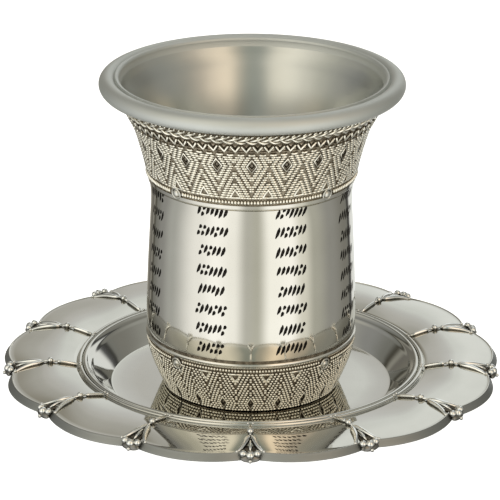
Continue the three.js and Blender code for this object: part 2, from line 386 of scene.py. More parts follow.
def grown(mesh, name, tree, sizes):
    """Runs a tree on a mesh with these sizes, and returns the result as a plain mesh object."""
    carrier = show(mesh, name + "_start")
    modifier = carrier.modifiers.new(tree.name, "NODES")
    modifier.node_group = tree
    sockets = {item.name: item.identifier for item in tree.interface.items_tree if item.in_out == "INPUT"}
    for label, value in sizes.items():
        modifier[sockets[label]] = value
    evaluated = carrier.evaluated_get(bpy.context.evaluated_depsgraph_get())
    result = bpy.data.meshes.new_from_object(evaluated)
    bpy.data.objects.remove(carrier)
    result.name = name
    return show(result, name)


# %% Tree: beadwork, one flattened bead on every point
def beadwork_tree():
    tree, given = start_tree("beadwork", {"Vector": ("Bead",), "Float": ("Unevenness",), "Int": ("Seed",)})
    maths = calculator(tree)
    ball = add(tree, "GeometryNodeMeshUVSphere", {"Radius": 1.0, "Segments": 8, "Rings": 4})
    local = add(tree, "GeometryNodeInputPosition").outputs["Position"]
    # The bead's height above its middle is its proud value: the relief metal paints its sides in shade and
    # its crown light.
    away = add(tree, "ShaderNodeSeparateXYZ", {"Vector": local}).outputs["Z"]
    bead = smoothed(tree, mark_proud(tree, ball.outputs["Mesh"], away))
    facing = add(tree, "GeometryNodeInputNamedAttribute", {"Name": "facing"}, data_type="FLOAT_VECTOR")
    turn = add(tree, "FunctionNodeEulerToRotation", {"Euler": facing.outputs["Attribute"]})
    uneven = add(tree, "FunctionNodeRandomValue", {
        "Min": maths("SUBTRACT", 1.0, given["Unevenness"]), "Max": maths("ADD", 1.0, given["Unevenness"]),
        "Seed": given["Seed"],
    })
    size = add(tree, "ShaderNodeVectorMath", {
        0: given["Bead"], "Scale": uneven.outputs["Value"],
    }, operation="SCALE")
    beads = add(tree, "GeometryNodeInstanceOnPoints", {
        "Points": given["Geometry"], "Instance": bead,
        "Rotation": turn.outputs["Rotation"], "Scale": size.outputs["Vector"],
    })
    return close_tree(tree, beads.outputs["Instances"], given["Material"])


# %% Tree: the same motif all the way round the axis
def ring_of_motifs_tree():
    tree, given = start_tree("ring_of_motifs", {"Int": ("Count",), "Float": ("First Azimuth",)})
    maths = calculator(tree)
    places = add(tree, "GeometryNodeMeshLine", {"Count": given["Count"], "Offset": (0, 0, 0)})
    index = add(tree, "GeometryNodeInputIndex").outputs["Index"]
    step = maths("DIVIDE", 2 * math.pi, given["Count"])
    azimuth = maths("MULTIPLY_ADD", index, step, given["First Azimuth"])
    turn = add(tree, "ShaderNodeCombineXYZ", {"Z": azimuth})
    facing = add(tree, "FunctionNodeEulerToRotation", {"Euler": turn.outputs["Vector"]})
    copies = add(tree, "GeometryNodeInstanceOnPoints", {
        "Points": places.outputs["Mesh"], "Instance": given["Geometry"],
        "Rotation": facing.outputs["Rotation"],
    })
    return close_tree(tree, copies.outputs["Instances"], given["Material"])


# %% Tree: a wire that waves round the neck, over and under its two neighbours in a plait
def wavy_wire_tree():
    tree, given = start_tree("wavy_wire", {
        "Float": ("Radius", "Height", "Lean", "Phase", "Swing", "Crossing", "Wire"), "Int": ("Waves",),
    })
    maths = calculator(tree)
    points_per_wave = 20
    steps = maths("MULTIPLY", given["Waves"], points_per_wave)
    ring = add(tree, "GeometryNodeCurvePrimitiveCircle", {"Resolution": steps, "Radius": 1.0})
    index = add(tree, "GeometryNodeInputIndex").outputs["Index"]
    azimuth = maths("DIVIDE", maths("MULTIPLY", index, 2 * math.pi), steps)
    wave = maths("MULTIPLY_ADD", azimuth, given["Waves"], given["Phase"])
    side = maths("MULTIPLY", maths("SINE", wave), given["Swing"])
    out = maths("MULTIPLY", maths("SINE", maths("MULTIPLY", wave, 2.0)), given["Crossing"])
    along, across = maths("SINE", given["Lean"]), maths("COSINE", given["Lean"])
    reach = maths("MULTIPLY_ADD", side, along, given["Radius"])
    reach = maths("MULTIPLY_ADD", out, across, reach)
    height = maths("MULTIPLY_ADD", side, across, given["Height"])
    height = maths("SUBTRACT", height, maths("MULTIPLY", out, along))
    x = maths("MULTIPLY", reach, maths("SINE", azimuth))
    y = maths("MULTIPLY", maths("MULTIPLY", reach, maths("COSINE", azimuth)), -1.0)
    # Where a strand dips under its neighbours its proud value is low, so the relief metal paints it in shade.
    level = add(tree, "ShaderNodeMapRange", {
        "Value": out, "From Min": maths("MULTIPLY", given["Crossing"], -1.0),
        "From Max": given["Crossing"], "To Min": 0.0, "To Max": 0.9,
    })
    marked = mark_proud(tree, ring.outputs["Curve"], level.outputs["Result"])
    section = add(tree, "GeometryNodeCurvePrimitiveCircle", {"Resolution": 6, "Radius": given["Wire"]})
    wire = add(tree, "GeometryNodeCurveToMesh", {
        "Curve": moved_to(tree, marked, x, y, height), "Profile Curve": section.outputs["Curve"],
    })
    return close_tree(tree, smoothed(tree, wire.outputs["Mesh"]), given["Material"])


# %% Tree: a round flange drawn out into petals
def petals_tree():
    """The edge of each petal is a bow through both cusps; the flange is drawn in to it and domed."""
    tree, given = start_tree("petals", {
        "Float": ("Petals", "Flange Start", "Petal Reach", "Cusp Reach", "Petal Dome", "Divider Rise"),
    })
    start, furthest, cusp = given["Flange Start"], given["Petal Reach"], given["Cusp Reach"]
    maths = calculator(tree)
    place = add(tree, "GeometryNodeInputPosition").outputs["Position"]
    split = add(tree, "ShaderNodeSeparateXYZ", {"Vector": place}).outputs
    x, y, z = split["X"], split["Y"], split["Z"]
    back = maths("MULTIPLY", y, -1.0)
    azimuth = maths("ARCTAN2", x, back)
    reach = maths("POWER", maths("ADD", maths("MULTIPLY", x, x), maths("MULTIPLY", back, back)), 0.5)

    petal = maths("DIVIDE", 2 * math.pi, given["Petals"])
    half = maths("MULTIPLY", petal, 0.5)
    offset = maths("SUBTRACT", maths("FLOORED_MODULO", azimuth, petal), half)
    half_width = maths("MULTIPLY", cusp, maths("SINE", half))
    cusp_depth = maths("MULTIPLY", cusp, maths("COSINE", half))
    rise = maths("SUBTRACT", furthest, cusp_depth)
    squares = maths("ADD", maths("POWER", half_width, 2.0), maths("POWER", rise, 2.0))
    bow = maths("DIVIDE", squares, maths("MULTIPLY", rise, 2.0))
    centre = maths("SUBTRACT", furthest, bow)
    aside = maths("MULTIPLY", centre, maths("SINE", offset))
    deep = maths("SUBTRACT", maths("POWER", bow, 2.0), maths("MULTIPLY", aside, aside))
    edge = maths("MULTIPLY_ADD", centre, maths("COSINE", offset), maths("SQRT", deep))

    width = maths("SUBTRACT", furthest, start)
    beyond = maths("MAXIMUM", maths("SUBTRACT", reach, start), 0.0)
    share = maths("DIVIDE", beyond, width)
    pull = maths("MULTIPLY", share, maths("SUBTRACT", edge, furthest))
    factor = maths("DIVIDE", maths("ADD", reach, pull), maths("MAXIMUM", reach, 1e-6))
    turns = maths("MULTIPLY", maths("MULTIPLY", azimuth, given["Petals"]), 0.5)
    near_divider = maths("POWER", maths("COSINE", turns), 2.0)
    dome = maths("MULTIPLY_ADD", near_divider, given["Divider Rise"], given["Petal Dome"])
    lift = maths("MULTIPLY", maths("SINE", maths("MULTIPLY", share, math.pi)), dome)
    drawn = moved_to(
        tree, given["Geometry"],
        maths("MULTIPLY", x, factor), maths("MULTIPLY", y, factor), maths("ADD", z, lift),
    )
    return close_tree(tree, drawn, given["Material"])


beadwork = beadwork_tree()
ring_of_motifs = ring_of_motifs_tree()
wavy_wire = wavy_wire_tree()
petals = petals_tree()
print("trees:", [tree.name for tree in (beadwork, ring_of_motifs, wavy_wire, petals)])


# %% [markdown]
# ## Wires and studs on a wall
# Raised ornament on a cast cup shows as a bright rounded top on a dark ground. `wire` sweeps a small oval
# along a path, with the wall's normal as its upright, and tells how far each point stands proud, so that
# the relief metal can paint the top of every wire light and its foot dark: oxide and painted shade.

# %% Helper: a tapering wire swept along a path
def wire(points, normals, widths, heights, sides, closed=False):
    """Points, faces and proud values of a wire. Widths and heights are the half sizes of its section."""
    count = len(points)
    vertices, proud = [], []
    for i, (point, normal) in enumerate(zip(points, normals)):
        before = points[(i - 1) % count] if closed or i > 0 else point
        after = points[(i + 1) % count] if closed or i < count - 1 else point
        forward = (after - before).normalized()
        sideways = forward.cross(normal).normalized()
        upright = sideways.cross(forward).normalized()
        stretch = 1.0
        if 0 < i < count - 1 or closed:
            bend = (point - before).angle(after - point, 0.0)
            stretch = 1 / max(math.cos(bend / 2), 0.5)
        for side in range(sides):
            angle = 2 * math.pi * side / sides
            across, up = math.cos(angle), math.sin(angle)
            vertices.append(point + sideways * across * widths[i] * stretch + upright * up * heights[i])
            # The underside of the section gets low values: painted shade at the foot of the wire.
            proud.append(up)
    faces = []
    for i in range(count if closed else count - 1):
        here, there = i * sides, (i + 1) % count * sides
        for side in range(sides):
            after = (side + 1) % sides
            faces.append((here + side, here + after, there + after, there + side))
    if not closed:
        faces.append(tuple(reversed(range(sides))))
        faces.append(tuple(range((count - 1) * sides, count * sides)))
    return vertices, faces, proud


def motif(name, *shapes):
    """One mesh from several (points, faces, proud values), in millimetres, with smooth faces."""
    vertices, faces, proud = [], [], []
    for shape_vertices, shape_faces, shape_proud in shapes:
        start = len(vertices)
        vertices += [Vector(v) * MM for v in shape_vertices]
        faces += [tuple(start + corner for corner in face) for face in shape_faces]
        proud += list(shape_proud)
    mesh = bpy.data.meshes.new(name)
    mesh.from_pydata(vertices, [], faces)
    mesh.attributes.new("proud", "FLOAT", "POINT").data.foreach_set("value", proud)
    working = bmesh.new()
    working.from_mesh(mesh)
    bmesh.ops.recalc_face_normals(working, faces=working.faces)
    working.to_mesh(mesh)
    working.free()
    mesh.shade_smooth()
    return mesh


def wall_wire(path, width, height, closed=False, sides=8, points_between=1):
    """Wire along (azimuth in degrees, height, proud) points on the cup's wall."""
    corners = list(path) + ([path[0]] if closed else [])
    places = []
    for first, second in zip(corners, corners[1:]):
        for part in range(points_between):
            t = part / points_between
            places.append(tuple(a + (b - a) * t for a, b in zip(first, second)))
    if not closed:
        places.append(corners[-1])
    points = [on_wall(math.radians(a), z, out) for a, z, out in places]
    normals = [wall_normal(math.radians(a), z) for a, z, _ in places]
    count = len(places)
    return wire(points, normals, [width] * count, [height] * count, sides, closed)


def ball(centre, radii, axes=None, segments=12, rings=8):
    """An oval bead: points, faces and proud values. The last axis is the one that stands proud."""
    axes = axes or (Vector((1, 0, 0)), Vector((0, 1, 0)), Vector((0, 0, 1)))
    directions = [(0, 0, -1)]
    for ring in range(1, rings):
        flat, up = math.sin(math.pi * ring / rings), -math.cos(math.pi * ring / rings)
        for segment in range(segments):
            angle = 2 * math.pi * segment / segments
            directions.append((flat * math.cos(angle), flat * math.sin(angle), up))
    directions.append((0, 0, 1))
    points = [
        sum((axis * share * radius for axis, share, radius in zip(axes, direction, radii)), Vector(centre))
        for direction in directions
    ]
    return points, capped_faces(rings - 1, segments), [float(up) for _, _, up in directions]


def degrees_of(width, height):
    """Angle in degrees that a width takes up on the wall at a height."""
    return math.degrees(width / outline(height))


def wall_axes(azimuth, height):
    """Sideways, up along the wall, and straight out of it."""
    out = wall_normal(azimuth, height)
    sideways = Vector((math.cos(azimuth), math.sin(azimuth), 0))
    return sideways, out.cross(sideways), out


# %% [markdown]
# ## The shell
# The real shell is cast, and its ground is lower where ornament stands on it. A turned skin with a few
# shallow steps gives that: a plain polished wall in the middle, a ridge and a dark groove below it, and
# oxidised ground under both bands. The groove and the ground at the foot are darker than the ground above:
# that is painted shade, for the shadow between cup and saucer.

# %% Heights of the bands, and the ground beneath them
UPPER_STEP, UPPER_STRIP, UPPER_FIELD = 58.15, 59.45, (61.4, 73.95)
DASH_ROW, ZIGZAG_ROW, BRAID_ROW = 74.25, (75.05, 77.0), 78.5
LOWER_FIELD, LOWER_BEADS, LOWER_RIDGE = (2.2, 14.2), 14.98, 16.4
GROUND_DEPTH, ZIGZAG_DEPTH, STEP_DEPTH = 0.15, 0.3, 0.3
STRIP_PROUD = 0.25
RIDGE_RADIUS, RIDGE_PROUD = 0.42, 0.95
GROOVE, GROOVE_DEPTH, WALL_START = (17.12, 17.75), 0.14, 17.82
COLUMNS = 360


def ground(first, last, count, depth=GROUND_DEPTH):
    """Rows of oxidised ground, a little below the plain wall."""
    return [(z, -depth, True) for z in np.linspace(first, last, count)]


def shell_rows():
    """(height, proud, on the oxidised ground) from the foot up."""
    rows = [(CUP_BASE, -0.6, False), (CUP_BASE + 0.25, -GROUND_DEPTH, True)]
    rows += ground(CUP_BASE + 1, 15.6, 14)
    ridge = arc((0.0, LOWER_RIDGE), RIDGE_RADIUS, -90, 90, 6)
    rows += [(z + 0.6 * max(z - LOWER_RIDGE, 0), out * RIDGE_PROUD, False) for out, z in ridge]
    rows += [(z, -GROOVE_DEPTH, True) for z in GROOVE]
    rows += [(WALL_START, 0.0, False)]
    rows += [(z, 0.0, False) for z in np.linspace(18.0, UPPER_STEP - 0.3, 48)]
    rows += [(UPPER_STEP - 0.12, -STEP_DEPTH, False), (UPPER_STEP + 0.1, -STEP_DEPTH, False)]
    rows += [(UPPER_STEP + 0.18, STRIP_PROUD - 0.05, False)]
    strip = (UPPER_STEP + 0.26, UPPER_STEP + 0.32, UPPER_STRIP - 0.16, UPPER_STRIP - 0.1)
    rows += [(z, STRIP_PROUD, False) for z in strip]
    rows += [(UPPER_STRIP, -GROUND_DEPTH, True)]
    rows += ground(UPPER_STRIP + 0.5, ZIGZAG_ROW[0] - 0.1, 17)
    rows += ground(*ZIGZAG_ROW, 3, ZIGZAG_DEPTH)
    rows += ground(ZIGZAG_ROW[1] + 0.15, SHELL_TOP - 0.2, 4)
    return rows + [(SHELL_TOP, 0.0, True)]


def shell_mesh():
    rows = shell_rows()
    floor = CUP_BASE + 1.5
    outside = [(outline(z) + proud, z) for z, proud, _ in rows]
    inside = [(outline(z) - SHELL_WALL, z) for z in np.linspace(SHELL_TOP, CUP_BASE + 5, 30)]
    inside.append((outline(floor) - 2 * SHELL_WALL, floor))
    mesh = turned("shell", [(0, CUP_BASE)] + outside + inside + [(0, floor)], COLUMNS)
    for metal in (body_nickel, band_ground, shaded_foot_ground):
        mesh.materials.append(metal)
    grounds = {round(z, 4) for z, _, oxidised_row in rows if oxidised_row}
    for face in mesh.polygons:
        heights = [mesh.vertices[v].co.z / MM for v in face.vertices]
        reach = math.hypot(*mesh.vertices[face.vertices[0]].co.xy) / MM
        outer = reach > outline(min(max(heights[0], CUP_BASE), SHELL_TOP)) - 0.8
        if outer and all(round(z, 4) in grounds for z in heights):
            # Ground above the upper step takes the band colour. The groove and the foot take the darker
            # colour of painted shade.
            face.material_index = 1 if heights[0] > UPPER_STEP else 2
    return mesh


shell = show(shell_mesh(), "shell_body")
print("shell:", len(shell.data.polygons), "faces before the graver's cuts")

# %% [markdown]
# ## Rows of engraved strokes
# On the real cup eight columns of short words run round the body. Here their place is taken by strokes
# that spell nothing: they all lean the same way and never touch, like blades of grass, and only their
# length and place change. They are true grooves. Each stroke is a little wedge that follows the wall,
# and one Boolean takes all the wedges out of the shell at once; the wedges' own dark material stays
# behind on the walls of the cuts.

# %% Sizes of the engraving
ENGRAVED_COLUMNS = 8
ENGRAVED_ROWS = [20.7 + 5.17 * row for row in range(8)]
STROKE_DEPTH, STROKE_PROUD = 0.2, 0.25
STROKE_WIDTH, STROKE_PITCH = 1.05, 1.2
STROKE_LEAN, STROKE_BOW = 0.36, 0.16
FEWEST_STROKES, MOST_STROKES = 6, 7
ENGRAVING_SEED = 20
rng = np.random.default_rng(ENGRAVING_SEED)


def stroke(azimuth, height, foot, head):
    """A bowed wedge that leans to the right, from foot to head above the middle of its row."""
    stations = []
    for t, swell in ((0.0, 0.25), (0.3, 0.9), (0.7, 1.0), (1.0, 0.3)):
        up = foot + (head - foot) * t
        side = STROKE_LEAN * up + STROKE_BOW * math.sin(math.pi * t)
        half = STROKE_WIDTH * swell / 2
        section = ((1, STROKE_PROUD), (-1, STROKE_PROUD), (-0.6, -STROKE_DEPTH), (0.6, -STROKE_DEPTH))
        for share, out in section:
            z = height + up - share * half * STROKE_LEAN
            stations.append(on_wall(azimuth + (side + share * half) / outline(z), z, out))
    last = len(stations) - 4
    faces = [(0, 1, 2, 3), (last + 3, last + 2, last + 1, last)]
    for station in range(0, last, 4):
        for corner in range(4):
            after = (corner + 1) % 4
            faces.append((station + after, station + corner, station + 4 + corner, station + 4 + after))
    return stations, faces, [0.0] * len(stations)


# Foot and head of the strokes at one place of a row: one long or shorter stroke, or two halves.
STROKE_KINDS = (
    ((-1.45, 1.45),), ((-1.45, 1.1),), ((-1.1, 1.45),), ((-1.45, -0.12), (0.32, 1.45)), ((-0.8, 1.45),),
)

cuts = []
for column in range(ENGRAVED_COLUMNS):
    middle = (column + 0.5) * 2 * math.pi / ENGRAVED_COLUMNS
    for height in ENGRAVED_ROWS:
        strokes = int(rng.integers(FEWEST_STROKES, MOST_STROKES + 1))
        for place in range(strokes):
            shift = (place - (strokes - 1) / 2) * STROKE_PITCH / outline(height)
            for foot, head in STROKE_KINDS[int(rng.integers(len(STROKE_KINDS)))]:
                cuts.append(stroke(middle + shift, height, foot, head))
graver_mesh = motif("graver", *cuts)
graver_mesh.materials.append(engraving)
graver = show(graver_mesh, "graver")
print(len(cuts), "strokes to cut")

# %% Cut the strokes and keep the result as a plain mesh
cut = shell.modifiers.new("engraving", "BOOLEAN")
cut.object = graver
cut.operation = "DIFFERENCE"
cut.solver = "MANIFOLD"
cut.material_mode = "TRANSFER"
engraved = bpy.data.meshes.new_from_object(shell.evaluated_get(bpy.context.evaluated_depsgraph_get()))
bpy.data.objects.remove(shell)
bpy.data.objects.remove(graver)
engraved.shade_smooth()
engraved.set_sharp_from_angle(angle=math.radians(SHARP_SHELL))
settle(show(engraved, "cup_shell_skin"), "shell_metal", "cup_shell")
print("materials on the shell:", [m.name for m in engraved.materials])


# %% [markdown]
# ## Beaded bands
# Each band is a belt of twenty-one bays. A lozenge sits in every bay, with ladders of short rungs round
# it, and the outer ladders meet in a peak between the bays. On the real cup they are part of the casting.
# The ladders follow one rule: a ladder is the set of places at the same slanted distance from its
# lozenge. Heights in a band are counted from the edge nearest the plain wall. Up to the lozenge's middle
# the distances are those in `ladders`, and beyond it those in `over`. Python works out where the rungs
# go, and the beadwork tree puts a bead on each place.

# %% Places of the rungs in one band
LOZENGE_HEIGHT = 9.35
BAY_SLOPE = 17.4
AT_THE_MIDDLE, AT_THE_EDGE = 0.05, 0.45
UPPER_LADDERS, UPPER_OVER = (4.3, 7.2, 10.6, 13.5), (4.3, 7.2, 9.6)
LOWER_LADDERS, LOWER_OVER = (3.6, 5.7, 7.8, 10.0, 12.2, 14.4), (3.6, 5.7, 7.8, 9.7)
UPPER_PITCH, LOWER_PITCH = 0.65, 0.7
START_MARGIN, END_MARGIN = 0.2, 0.3
STUD_HEIGHTS = (14.0, 60.0)
STUD_RADIUS, STUD_CLEARANCE = 1.4, 0.45
BAY = 2 * math.pi / BAYS


def bay_places(ladders, over, band_height, rung_pitch):
    """(share of a bay from its middle, height in the band) of every rung in one bay."""
    places = []
    lowest = -int((LOZENGE_HEIGHT - START_MARGIN) / rung_pitch)
    highest = int((band_height - END_MARGIN - LOZENGE_HEIGHT) / rung_pitch)
    for step in range(lowest, highest + 1):
        up = step * rung_pitch
        for distance in over if step > 0 else ladders:
            aside = (distance - abs(up)) / BAY_SLOPE
            height = LOZENGE_HEIGHT + up
            if AT_THE_MIDDLE < aside < AT_THE_EDGE:
                places += [(aside, height), (-aside, height)]
            elif 0 <= aside <= 0.5:
                places.append((0.0 if aside <= AT_THE_MIDDLE else 0.5, height))
    return places


def bead_points(name, places):
    """Loose points on the wall with the turn that each bead needs. Places are (azimuth, height, proud)."""
    mesh = bpy.data.meshes.new(name)
    mesh.from_pydata([on_wall(*place) * MM for place in places], [], [])
    facing = mesh.attributes.new("facing", "FLOAT_VECTOR", "POINT")
    turns = [(math.pi / 2 + lean(height), 0.0, azimuth) for azimuth, height, _ in places]
    facing.data.foreach_set("vector", np.array(turns).ravel())
    return mesh


def near_stud(azimuth, height):
    for stud in range(STUDS):
        apart = (azimuth - (stud + 0.5) * 2 * math.pi / STUDS + math.pi) % (2 * math.pi) - math.pi
        for centre in STUD_HEIGHTS:
            if math.hypot(apart * outline(height), height - centre) < STUD_RADIUS + STUD_CLEARANCE:
                return True
    return False


def band_places(edge, up, rungs):
    """(azimuth, height, proud) of every rung in a band that starts at an edge and runs up or down."""
    return [((bay + aside) * BAY, edge + up * height, 0.0) for bay in range(BAYS) for aside, height in rungs]


upper_bay = bay_places(UPPER_LADDERS, UPPER_OVER, UPPER_FIELD[1] - UPPER_FIELD[0], UPPER_PITCH)
lower_bay = bay_places(LOWER_LADDERS, LOWER_OVER, LOWER_FIELD[1] - LOWER_FIELD[0], LOWER_PITCH)
upper_places = band_places(UPPER_FIELD[0], 1, upper_bay)
lower_places = band_places(LOWER_FIELD[1], -1, lower_bay)
print(len(upper_places), "rungs in the upper band,", len(lower_places), "in the lower one")

# %% Both fields of rungs, and rows of single beads above the plain strip and under the ridge
UPPER_RUNG, LOWER_RUNG = (0.82, 0.32, 0.37), (0.45, 0.34, 0.38)
TALL_BEAD, ROUND_BEAD = (0.37, 0.66, 0.6), (0.37, 0.4, 0.46)
UNEVENNESS = 0.08


def bead_row(count, height, proud):
    return [(k * 2 * math.pi / count, height, proud) for k in range(count)]


def field_of_beads(name, places, bead, seed, metal):
    kept = [place for place in places if not near_stud(place[0], place[1])]
    half_sizes = tuple(half * MM for half in bead)
    sizes = {"Bead": half_sizes, "Unevenness": UNEVENNESS, "Seed": seed, "Material": metal}
    settle(grown(bead_points(name, kept), name, beadwork, sizes), "shell_metal")


field_of_beads("upper_beadwork", upper_places, UPPER_RUNG, 3, bead_metal)
field_of_beads("lower_beadwork", lower_places, LOWER_RUNG, 5, shaded_foot_bead_metal)
field_of_beads("tall_bead_row", bead_row(208, 60.3, -0.05), TALL_BEAD, 8, bead_metal)
field_of_beads("round_bead_row", bead_row(216, LOWER_BEADS, -0.02), ROUND_BEAD, 9, shaded_foot_bead_metal)


# %% [markdown]
# ## Motifs that repeat round the cup
# The ring of motifs tree takes one small mesh, modelled at the front of the cup, and turns copies of it
# about the axis. Only the count changes from the neck's zigzag to the four studs.

# %% Helper: a ring of one motif
def ring(name, mesh, count, material, first=0.0, slot="shell_metal"):
    sizes = {"Count": count, "First Azimuth": first, "Material": material}
    settle(grown(mesh, name, ring_of_motifs, sizes), slot)


# %% A ring of small V-shaped wires, with a faceted point between each two
NECK_MOTIFS = 72
HALF_MOTIF = math.pi / NECK_MOTIFS


def chevron():
    reach = degrees_of(1.12, ZIGZAG_ROW[1])
    low, high = ZIGZAG_ROW[0] + 0.05, ZIGZAG_ROW[1] - 0.1
    return wall_wire([(-reach, high, 0.15), (0, low, 0.15), (reach, high, 0.15)], 0.23, 0.34)


def facet(base, tip, half_width, proud):
    """A low three-sided point on the wall: its faces catch the light one by one."""
    reach = half_width / outline(base)
    corners = [on_wall(-reach, base, -0.3), on_wall(reach, base, -0.3), on_wall(0, tip, -0.3)]
    peak = on_wall(0, base + (tip - base) * 0.38, proud)
    faces = [(0, 1, 3), (1, 2, 3), (2, 0, 3), (2, 1, 0)]
    mesh = motif("point", (corners + [peak], faces, [-0.4, -0.4, -0.4, 1.0]))
    mesh.shade_flat()
    return mesh


point_up = facet(base=74.85, tip=76.75, half_width=1.15, proud=0.12)
point_down = facet(base=77.05, tip=75.5, half_width=0.8, proud=0.05)
ring("neck_chevrons", motif("chevron", chevron()), NECK_MOTIFS, bead_metal, HALF_MOTIF)
ring("neck_facets_up", point_up, NECK_MOTIFS, facet_metal)
ring("neck_facets_down", point_down, NECK_MOTIFS, facet_metal, HALF_MOTIF)

# %% Dashes under the points
dash = wall_wire([
    (share * 1.5, DASH_ROW + 0.2 * share * share - 0.15, 0.12) for share in (-1, -0.5, 0, 0.5, 1)
], 0.3, 0.36)
ring("neck_dashes", motif("dash", dash), NECK_MOTIFS, bead_metal)

# %% Braid: three wavy wires, plaited, and a row of slanting bars above them
BRAID_WAVES = 24
braid_sizes = {
    "Radius": outline(BRAID_ROW) * MM, "Height": BRAID_ROW * MM, "Lean": lean(BRAID_ROW),
    "Waves": BRAID_WAVES, "Swing": 0.82 * MM, "Crossing": 0.24 * MM, "Wire": 0.33 * MM,
    "Material": braid_metal,
}
seed_mesh = bpy.data.meshes.new("braid_seed")
for number in (1, 2, 3):
    phase = number * 2 * math.pi / 3
    strand = grown(seed_mesh, f"braid_strand_{number}", wavy_wire, {**braid_sizes, "Phase": phase})
    settle(strand, "shell_metal")
bar = wall_wire([(-0.6, 79.4, 0.05), (0.6, 79.85, 0.05)], 0.2, 0.28, sides=6)
ring("braid_bars", motif("bar", bar), 6 * BRAID_WAVES, bead_metal)


# %% Lozenges in the bays of both bands
def lozenge(height, half_height, half_width):
    """A wire frame, lighter on its upper sides and painted in shade on its lower ones, round a low four-sided
    point.
    """
    reach = degrees_of(half_width, height)
    corners = [(0, height + half_height), (reach, height), (0, height - half_height), (-reach, height)]
    path = [(a, z, 0.02) for a, z in corners]
    points, faces, proud = wall_wire(path, 0.2, 0.26, closed=True, points_between=2)
    # The lower sides of the frame are lowered on the ramp: painted shade below, lighter above.
    shaded_below = [up - 0.55 if point.z < height - 0.3 else up for point, up in zip(points, proud)]
    radii = (half_width * 0.62, half_height * 0.66, 0.2)
    middle, middle_faces, _ = ball(on_wall(0.0, height, -0.15), radii, wall_axes(0.0, height), 4, 2)
    return motif("lozenge", (points, faces, shaded_below), (middle, middle_faces, [0.12] * len(middle)))


# Label, edge nearest the plain wall, direction away from it, and half sizes of the lozenge.
BANDS = (("upper", UPPER_FIELD[0], 1, (1.85, 1.3)), ("lower", LOWER_FIELD[1], -1, (1.75, 1.0)))
for label, edge, up, half_sizes in BANDS:
    ring(f"{label}_lozenges", lozenge(edge + up * LOZENGE_HEIGHT, *half_sizes), BAYS, braid_metal)


# %% Small wire triangles between the bays
def peak_triangle(foot, tip):
    reach = degrees_of(1.35, foot)
    corners = [(-reach, foot, 0.0), (0, tip, 0.0), (reach, foot, 0.0)]
    return motif("triangle", wall_wire(corners, 0.24, 0.3, closed=True, points_between=2))


for label, edge, up, _ in BANDS:
    ring(f"{label}_triangles", peak_triangle(edge + up * 0.25, edge + up * 2.5), BAYS, bead_metal, BAY / 2)


# %% Studs: a worn dome in a wire collar, four to a band
def stud_and_collar(height):
    axes = wall_axes(0.0, height)
    dome = ball(on_wall(0.0, height, 0.0), (STUD_RADIUS * 0.78, STUD_RADIUS * 0.78, 0.7), axes, 20, 10)
    turn = [math.radians(15 * step) for step in range(24)]
    reach = degrees_of(STUD_RADIUS, height)
    collar = wall_wire([
        (reach * math.cos(t), height + STUD_RADIUS * math.sin(t), 0.08) for t in turn
    ], 0.24, 0.3, closed=True)
    return motif("stud", dome, collar)


for label, height in zip(("lower", "upper"), STUD_HEIGHTS):
    ring(f"{label}_studs", stud_and_collar(height), STUDS, stud_metal, math.pi / STUDS)


# %% [markdown]
# ## The lining
# A separate satin steel beaker sits inside the shell, and its edge is rolled outwards into a fat lip
# that hides the shell's top edge. It is one turned skin: up the outside of the lining, round the roll
# and down the inside. The lip is more matt than the wall, so its faces have a metal of their own, and
# that metal is also painted lighter: painted light on the upturned roll.

# %% Lining with its rolled lip
LINING_FOOT, LINING_CORNER = (7, 8), 3.7


def lining_mesh():
    outset = SHELL_WALL + LINING_GAP
    inset = outset + LINING_WALL
    shoulder = SHELL_TOP - 0.6
    throat = outline(shoulder)
    under, over = LINING_FOOT
    outside = [(outline(z) - outset, z) for z in np.linspace(under, shoulder, 40)]
    roll = arc((LIP_REACH - LIP_ROLL, LIP_TOP - LIP_ROLL), LIP_ROLL, -110, 146, 30)
    inner_ring = arc((INNER_RING + 0.95, LIP_TOP - 1.0), 0.9, 85, 190, 10)
    inside = [(outline(z) - inset, z) for z in np.linspace(shoulder, over, 44)]
    corner = arc((outline(over) - inset - LINING_CORNER, over), LINING_CORNER, 0, -90, 8)[1:]
    profile = [(0, LINING_BASE), (outline(under) - outset - 3.5, LINING_BASE), *outside]
    profile += [(throat - 0.6, SHELL_TOP + 0.6), *roll, *inner_ring, (INNER_RING - 0.45, LIP_TOP - 2.4)]
    profile += [(INNER_RING - 0.9, LIP_TOP - 3.6), (throat - 1, SHELL_TOP + 0.9), *inside, *corner]
    return turned("lining", profile + [(0, LINING_BASE + LINING_WALL)], 256)


lining = lining_mesh()
lining.materials.append(lining_steel)
lining.materials.append(lit_lip_steel)
lowest_of_lip = LIP_TOP - 2.1 * LIP_ROLL
for face in lining.polygons:
    if face.center.z > lowest_of_lip * MM and math.hypot(*face.center.xy) > (INNER_RING - 0.2) * MM:
        face.material_index = 1
lining.set_sharp_from_angle(angle=math.radians(SHARP_LINING))
settle(show(lining, "lining_skin"), "liner_metal", "cup_liner")

# %% [markdown]
# ## The saucer
# The saucer is spun from sheet: a flat well, a curved wall, a ring of two beads with a groove between
# them, and a flange that is then drawn into thirteen petals. The blank is turned first, as a spinner
# would, and the petals tree draws its edge in at the cusps and domes each petal. The skirt that hangs
# from the edge is satin, and darker as painted shade for the shadowed surroundings it reflects: its
# faces are marked on the blank, and the tree keeps the mark.

# %% Spun blank of the saucer
SAUCER_FLOOR = CUP_BASE
FLOOR_EDGE, FLANGE_START, CUSP_REACH = 36.2, 45.0, 62.3
FLANGE_HEIGHT, FLANGE_THICKNESS, SKIRT_FOOT, LIP_WIDTH = 7.9, 1.5, 6.1, 1.3
PETAL_DOME, DIVIDER_RISE = 1.1, 0.3
COLUMNS_PER_PETAL = 28


